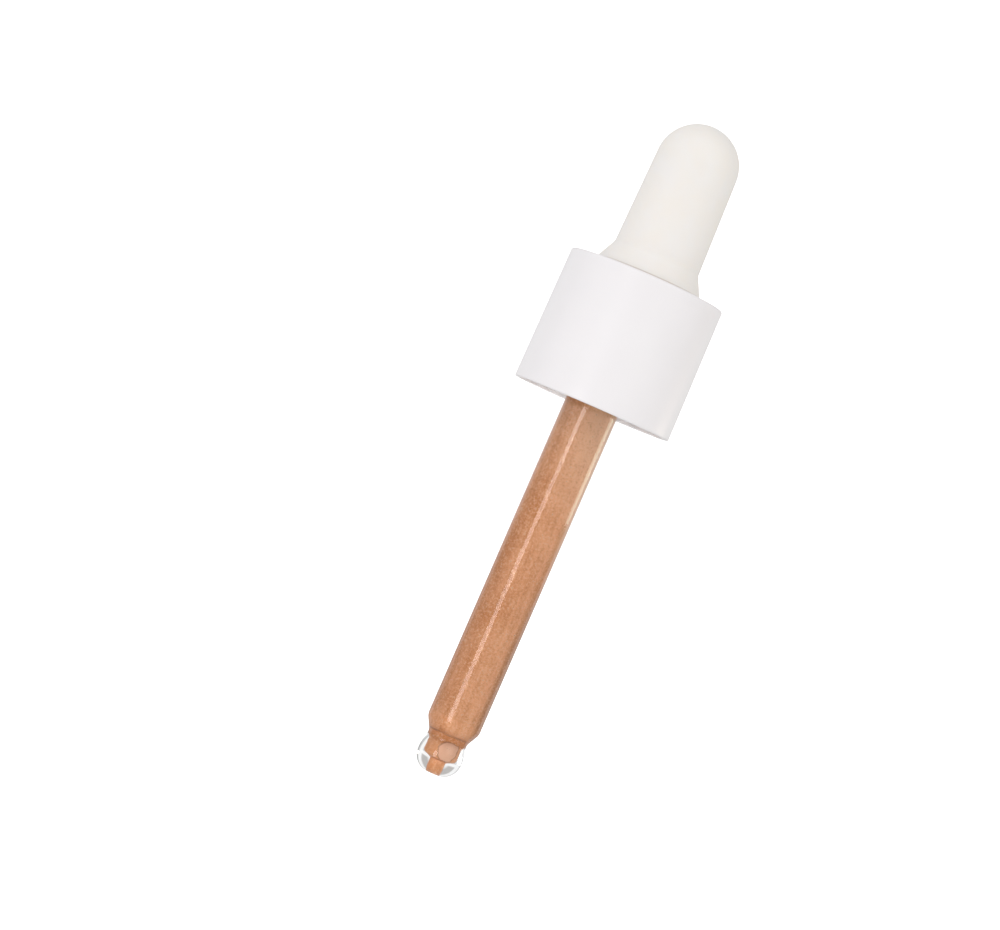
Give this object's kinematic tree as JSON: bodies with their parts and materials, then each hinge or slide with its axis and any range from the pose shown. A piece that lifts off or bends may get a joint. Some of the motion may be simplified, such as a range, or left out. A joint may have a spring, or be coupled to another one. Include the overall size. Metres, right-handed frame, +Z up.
{
  "type": "medicine dropper",
  "caption": "Dropper closure: rubber bulb on a smooth screw cap sleeve, with a glass pipette that has a waisted ball tip and holds a tan pearlescent liquid.",
  "frame": {"origin": "on the dropper's axis in the plane of the screw cap's mouth", "axes": "+Z up the axis towards the bulb; the pipette points along -Z; X and Y are equivalent"},
  "size_m": [0.021, 0.021, 0.0884],
  "materials": {
    "sleeve_plastic": "satin white",
    "cap_plastic": "natural white",
    "gasket_foam": "soft matte",
    "bulb_rubber": "matte off-white",
    "clear_glass": "clear",
    "liquid": "pearlescent"
  },
  "bodies": {
    "collar": {"outer_shell": "sleeve_plastic", "threaded_cap": "cap_plastic", "sealing_gasket": "gasket_foam"},
    "stem": {"glass_pipette": "clear_glass", "liquid_tip": "liquid"},
    "bulb": {"rubber_bulb": "bulb_rubber"},
    "liquid": {"liquid_column": "liquid"}
  },
  "joints": [
    {"name": "stem_turn", "type": "hinge", "parent": "collar", "child": "stem", "pos_m": [0, 0, 0.0156], "axis": [0, 0, 1], "continuous": true},
    {"name": "bulb_squeeze", "type": "slide", "parent": "stem", "child": "bulb", "axis": [0, 0, -1], "range_m": [0, 0.006], "stiffness_N_per_m": 800, "deforming": ["rubber_bulb"]},
    {"name": "liquid_level", "type": "slide", "parent": "stem", "child": "liquid", "axis": [0, 0, -1], "range_m": [0, 0.0177], "deforming": ["liquid_column"]}
  ],
  "couplings": [
    {"joint": "liquid_level", "follows": "bulb_squeeze", "ratio": 2.95}
  ]
}
